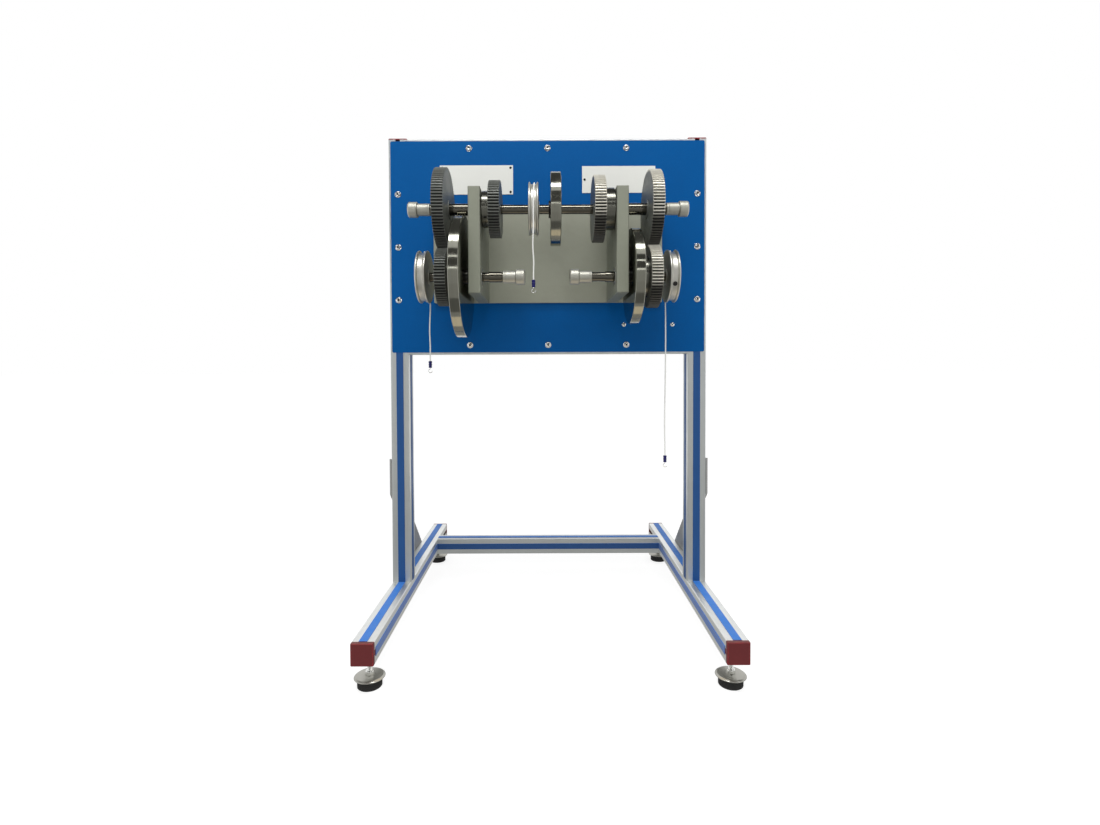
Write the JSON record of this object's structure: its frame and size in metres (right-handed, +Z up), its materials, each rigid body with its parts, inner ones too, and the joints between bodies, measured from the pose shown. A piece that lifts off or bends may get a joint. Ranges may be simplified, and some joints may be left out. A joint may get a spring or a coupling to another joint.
{
  "type": "geared system acceleration apparatus",
  "caption": "Floor-standing slotted aluminium frame with a blue panel that carries geared shafts in bearings, with flywheels, cord pulleys and hooks for hanging weights.",
  "frame": {"origin": "on the floor, under the middle of the apparatus's bounding box, without its cords and hooks", "axes": "+Z up; +Y from the front of the stand to its rear beam; +X to the right of someone who faces the panel"},
  "size_m": [0.789, 0.833, 1.192],
  "materials": {
    "frame_aluminium": "clear anodised",
    "strip_blue": "extruded, smooth",
    "cap_red": "moulded",
    "brace_grey": "semi-gloss coating",
    "screw_steel": "zinc plated",
    "foot_steel": "plated, pressed",
    "pad_rubber": "moulded",
    "panel_blue": "powder coated",
    "label_white": "satin, blank",
    "mount_grey": "hard anodised, grey",
    "bearing_steel": "ground",
    "shaft_steel": "dark, polished",
    "sleeve_steel": "turned",
    "gear_dark": "blackened, machined teeth",
    "flywheel_dark": "turned",
    "pulley_aluminium": "turned, bright",
    "knob_aluminium": "turned",
    "cord_white": "twisted",
    "crimp_navy": "shrunk sleeve",
    "hook_steel": "bent wire"
  },
  "bodies": {
    "stand": {"left_column": "frame_aluminium", "right_column": "frame_aluminium", "left_foot_rail": "frame_aluminium", "right_foot_rail": "frame_aluminium", "top_crossbar": "frame_aluminium", "bottom_crossbar": "frame_aluminium", "rear_beam": "frame_aluminium", "column_cover_strips": "strip_blue", "base_cover_strips": "strip_blue", "rail_end_caps": "cap_red", "column_caps": "cap_red", "left_brace": "brace_grey", "right_brace": "brace_grey", "brace_bolts": "screw_steel", "foot_stems": "screw_steel", "foot_dishes": "foot_steel", "foot_pads": "pad_rubber", "front_panel": "panel_blue", "panel_screws": "screw_steel", "slot_nuts": "screw_steel", "label_plates": "label_white", "backing_plate": "mount_grey", "left_cheek": "mount_grey", "right_cheek": "mount_grey", "cheek_screws": "screw_steel", "bearing_outer_rings": "bearing_steel", "main_cord": "cord_white", "left_cord": "cord_white", "right_cord": "cord_white", "cord_wraps": "cord_white"},
    "main_shaft_set": {"main_shaft": "shaft_steel", "upper_left_gear": "gear_dark", "upper_right_gear": "gear_dark", "inner_left_gear": "gear_dark", "inner_right_gear": "gear_dark", "main_sleeves": "sleeve_steel", "main_pulley": "pulley_aluminium", "main_flywheel": "flywheel_dark", "main_collar": "sleeve_steel", "main_knobs": "knob_aluminium", "main_inner_rings": "bearing_steel"},
    "left_shaft_set": {"left_shaft": "shaft_steel", "left_gear": "gear_dark", "left_pulley": "pulley_aluminium", "left_flywheel": "flywheel_dark", "left_knob": "knob_aluminium", "left_inner_rings": "bearing_steel"},
    "right_shaft_set": {"right_shaft": "shaft_steel", "right_gear": "gear_dark", "right_pulley": "pulley_aluminium", "right_flywheel": "flywheel_dark", "right_knob": "knob_aluminium", "right_inner_rings": "bearing_steel"},
    "main_hook_set": {"main_ferrule": "crimp_navy", "main_hook": "hook_steel"},
    "left_hook_set": {"left_ferrule": "crimp_navy", "left_hook": "hook_steel"},
    "right_hook_set": {"right_ferrule": "crimp_navy", "right_hook": "hook_steel"}
  },
  "joints": [
    {"name": "main_turn", "type": "hinge", "parent": "stand", "child": "main_shaft_set", "pos_m": [0, -0.2675, 0.976], "axis": [-1, 0, 0], "range_deg": [0, 118]},
    {"name": "left_turn", "type": "hinge", "parent": "stand", "child": "left_shaft_set", "pos_m": [0, -0.2675, 0.832], "axis": [-1, 0, 0], "range_deg": [-166, 0]},
    {"name": "right_turn", "type": "hinge", "parent": "stand", "child": "right_shaft_set", "pos_m": [0, -0.2675, 0.832], "axis": [-1, 0, 0], "range_deg": [-144, 0]},
    {"name": "main_lift", "type": "slide", "parent": "stand", "child": "main_hook_set", "axis": [0, 0, 1], "range_m": [0, 0.11], "deforming": ["main_cord"]},
    {"name": "left_lift", "type": "slide", "parent": "stand", "child": "left_hook_set", "axis": [0, 0, 1], "range_m": [0, 0.155], "deforming": ["left_cord"]},
    {"name": "right_lift", "type": "slide", "parent": "stand", "child": "right_hook_set", "axis": [0, 0, 1], "range_m": [0, 0.135], "deforming": ["right_cord"]}
  ],
  "couplings": [
    {"joint": "left_turn", "follows": "main_turn", "ratio": -1.4},
    {"joint": "right_turn", "follows": "main_turn", "ratio": -1.2154},
    {"joint": "main_lift", "follows": "main_turn", "m_per_rad": 0.0533},
    {"joint": "left_lift", "follows": "main_turn", "m_per_rad": 0.07462},
    {"joint": "right_lift", "follows": "main_turn", "m_per_rad": 0.06478}
  ]
}
